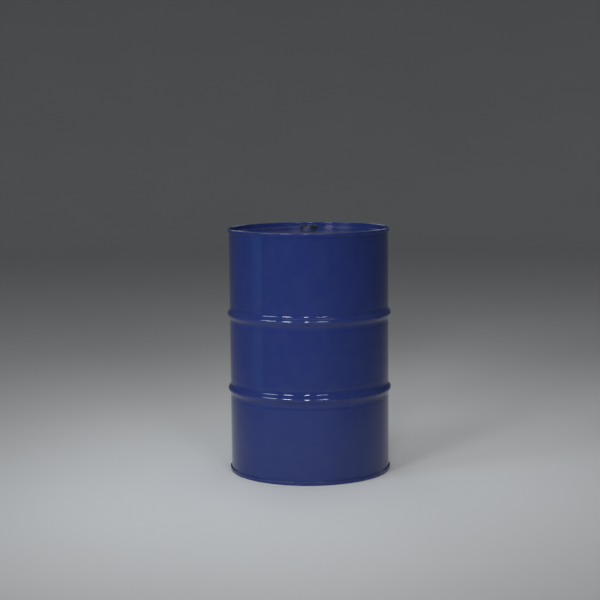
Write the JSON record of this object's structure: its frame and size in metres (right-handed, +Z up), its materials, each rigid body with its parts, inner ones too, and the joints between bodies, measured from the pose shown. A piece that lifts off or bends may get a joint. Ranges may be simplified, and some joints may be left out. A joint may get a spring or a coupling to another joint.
{
  "type": "closed-head steel drum",
  "caption": "Blue enamelled closed-head steel drum with rolling hoops, double-seamed chimes, and threaded bungs that screw out of the recessed head",
  "frame": {"origin": "centre of the base, on the plane that the bottom chime rests on", "axes": "+Z up along the drum's axis, +Y towards the large bung, -Y towards the small bung"},
  "size_m": [0.591, 0.591, 0.88],
  "materials": {
    "enamel": "glossy dark blue baked enamel",
    "flange_steel": "zinc-plated pressed steel",
    "plug_steel": "dark lacquered pressed steel",
    "gasket_rubber": "black moulded rubber",
    "seam_compound": "cured sealing compound"
  },
  "bodies": {
    "drum": {"body_shell": "enamel", "top_head": "enamel", "bottom_head": "enamel", "top_seam_compound": "seam_compound", "bottom_seam_compound": "seam_compound", "large_bung_flange": "flange_steel", "large_bung_flange_gasket": "gasket_rubber", "small_bung_flange": "flange_steel", "small_bung_flange_gasket": "gasket_rubber"},
    "large_seal": {"large_bung_plug_gasket": "gasket_rubber"},
    "large_plug": {"large_bung_plug": "plug_steel"},
    "small_seal": {"small_bung_plug_gasket": "gasket_rubber"},
    "small_plug": {"small_bung_plug": "plug_steel"}
  },
  "joints": [
    {"name": "large_plug_rise", "type": "slide", "parent": "drum", "child": "large_seal", "axis": [0, 0, 1], "range_m": [0, 0.0208]},
    {"name": "large_plug_turn", "type": "hinge", "parent": "large_seal", "child": "large_plug", "pos_m": [0, 0.213, 0.87], "axis": [0, 0, 1], "range_deg": [0, 3240]},
    {"name": "small_plug_rise", "type": "slide", "parent": "drum", "child": "small_seal", "axis": [0, 0, 1], "range_m": [0, 0.0182]},
    {"name": "small_plug_turn", "type": "hinge", "parent": "small_seal", "child": "small_plug", "pos_m": [0, -0.213, 0.87], "axis": [0, 0, 1], "range_deg": [0, 3600]}
  ],
  "couplings": [
    {"joint": "large_plug_rise", "follows": "large_plug_turn", "m_per_rad": 0.00036749},
    {"joint": "small_plug_rise", "follows": "small_plug_turn", "m_per_rad": 0.00028871}
  ]
}
